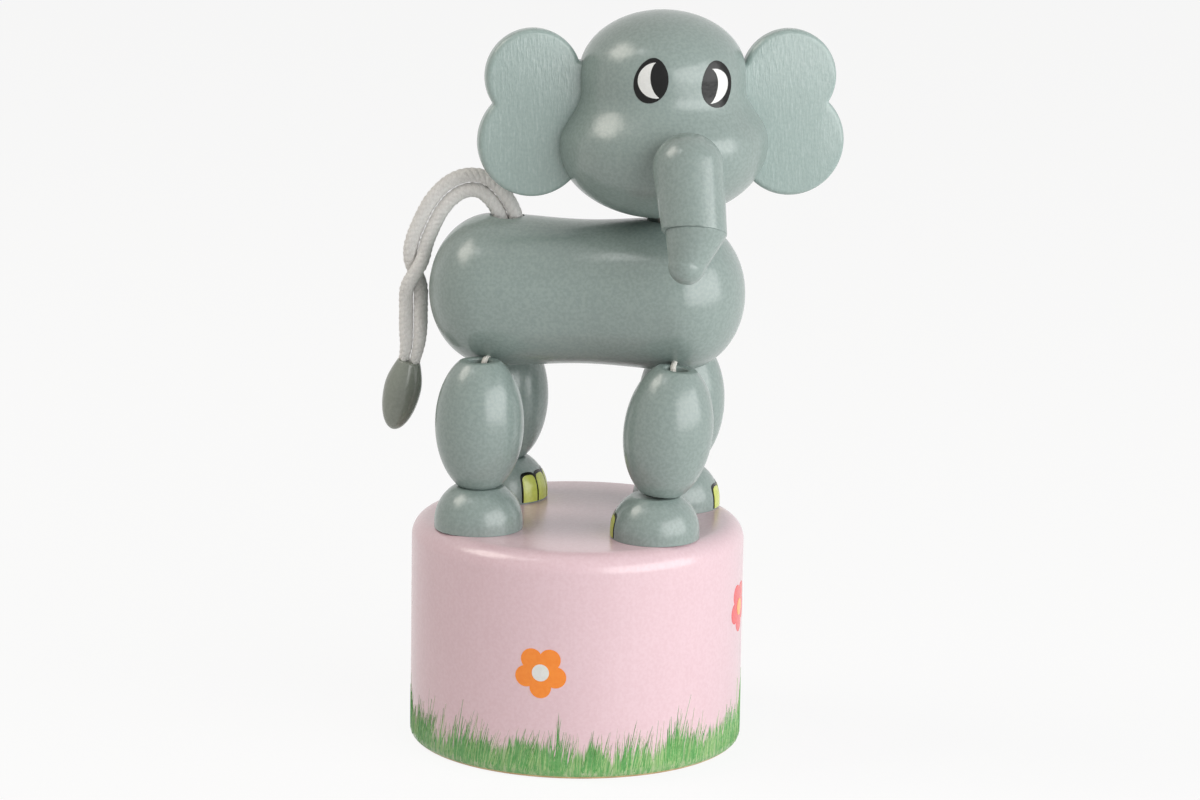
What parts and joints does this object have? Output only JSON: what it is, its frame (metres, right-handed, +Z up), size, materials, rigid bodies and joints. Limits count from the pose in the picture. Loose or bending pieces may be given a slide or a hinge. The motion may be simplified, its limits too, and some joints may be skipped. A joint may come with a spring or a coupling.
{
  "type": "push puppet",
  "caption": "Push puppet: a painted wooden elephant strung on a round drum; pressing the button under the drum slackens the strings, so the legs fold and the head nods.",
  "frame": {"origin": "centre of the drum's bottom plane", "axes": "+Z up, +X the way the body walks, +Y its left side"},
  "size_m": [0.068, 0.0511, 0.111],
  "materials": {
    "pink_paint": "satin paint",
    "grey_paint": "satin paint",
    "ear_paint": "satin paint",
    "bead_paint": "satin paint",
    "bare_wood": "bare",
    "string_white": "matt",
    "tail_yarn": "matt",
    "spring_steel": "drawn wire"
  },
  "bodies": {
    "base": {"base_drum": "pink_paint", "return_spring": "spring_steel", "string_front_left": "string_white", "string_front_right": "string_white", "string_rear_left": "string_white", "string_rear_right": "string_white"},
    "button": {"push_button": "bare_wood"},
    "foot_front_left": {"foot_front_left": "grey_paint"},
    "foot_front_right": {"foot_front_right": "grey_paint"},
    "foot_rear_left": {"foot_rear_left": "grey_paint"},
    "foot_rear_right": {"foot_rear_right": "grey_paint"},
    "leg_front_left": {"leg_front_left": "grey_paint"},
    "leg_front_right": {"leg_front_right": "grey_paint"},
    "leg_rear_left": {"leg_rear_left": "grey_paint"},
    "leg_rear_right": {"leg_rear_right": "grey_paint"},
    "torso": {"torso": "grey_paint", "front_string_peg": "bare_wood", "rear_string_peg": "bare_wood", "tail_strand_outer": "tail_yarn", "tail_strand_inner": "tail_yarn"},
    "neck": {"neck_string": "string_white"},
    "head": {"head": "grey_paint", "head_string_peg": "bare_wood", "ear_left": "ear_paint", "ear_right": "ear_paint", "trunk_upper": "grey_paint", "trunk_tip": "grey_paint", "trunk_dowel": "bare_wood"},
    "tail_end": {"tail_bead": "bead_paint"}
  },
  "joints": [
    {"name": "button_push", "type": "slide", "parent": "base", "child": "button", "axis": [0, 0, 1], "range_m": [0, 0.007], "stiffness_N_per_m": 700, "springref_m": -0.008, "deforming": ["return_spring", "string_front_left", "string_front_right", "string_rear_left", "string_rear_right"]},
    {"name": "ankle_front_left", "type": "hinge", "parent": "base", "child": "leg_front_left", "pos_m": [0.0169, 0.0103, 0.0403], "axis": [0, 1, 0], "range_deg": [0, 55]},
    {"name": "ankle_front_right", "type": "hinge", "parent": "base", "child": "leg_front_right", "pos_m": [0.0169, -0.0103, 0.0403], "axis": [0, 1, 0], "range_deg": [0, 50]},
    {"name": "ankle_rear_left", "type": "hinge", "parent": "base", "child": "leg_rear_left", "pos_m": [-0.0097, 0.0103, 0.0403], "axis": [0, 1, 0], "range_deg": [0, 60]},
    {"name": "ankle_rear_right", "type": "hinge", "parent": "base", "child": "leg_rear_right", "pos_m": [-0.0097, -0.0103, 0.0403], "axis": [0, 1, 0], "range_deg": [0, 60]},
    {"name": "hip_rear_right", "type": "hinge", "parent": "leg_rear_right", "child": "torso", "pos_m": [-0.0163, -0.0103, 0.0593], "axis": [0, 1, 0], "range_deg": [-60, 0]},
    {"name": "head_nod", "type": "hinge", "parent": "torso", "child": "neck", "pos_m": [0.01526, 0, 0.08002], "axis": [0, 1, 0], "range_deg": [0, 20]},
    {"name": "head_turn", "type": "hinge", "parent": "neck", "child": "head", "pos_m": [0.01205, 0, 0.08027], "axis": [-0.0209, 0, 0.9998], "range_deg": [-5, 145]},
    {"name": "swivel_front_left", "type": "hinge", "parent": "base", "child": "foot_front_left", "pos_m": [0.0133, 0.0103, 0.034], "axis": [0, 0, 1], "continuous": true},
    {"name": "swivel_front_right", "type": "hinge", "parent": "base", "child": "foot_front_right", "pos_m": [0.0133, -0.0103, 0.034], "axis": [0, 0, 1], "continuous": true},
    {"name": "swivel_rear_left", "type": "hinge", "parent": "base", "child": "foot_rear_left", "pos_m": [-0.0133, 0.0103, 0.034], "axis": [0, 0, 1], "continuous": true},
    {"name": "swivel_rear_right", "type": "hinge", "parent": "base", "child": "foot_rear_right", "pos_m": [-0.0133, -0.0103, 0.034], "axis": [0, 0, 1], "continuous": true},
    {"name": "tail_swing", "type": "hinge", "parent": "torso", "child": "tail_end", "pos_m": [-0.01644, 0, 0.08414], "axis": [0, 1, 0], "range_deg": [0, 30], "deforming": ["tail_strand_outer", "tail_strand_inner"]}
  ],
  "couplings": [
    {"joint": "ankle_front_left", "follows": "button_push", "rad_per_m": 137.13},
    {"joint": "ankle_front_right", "follows": "button_push", "rad_per_m": 124.66},
    {"joint": "ankle_rear_left", "follows": "button_push", "rad_per_m": 149.59},
    {"joint": "ankle_rear_right", "follows": "button_push", "rad_per_m": 149.59},
    {"joint": "hip_rear_right", "follows": "button_push", "rad_per_m": -149.59},
    {"joint": "head_nod", "follows": "button_push", "rad_per_m": 49.862}
  ]
}
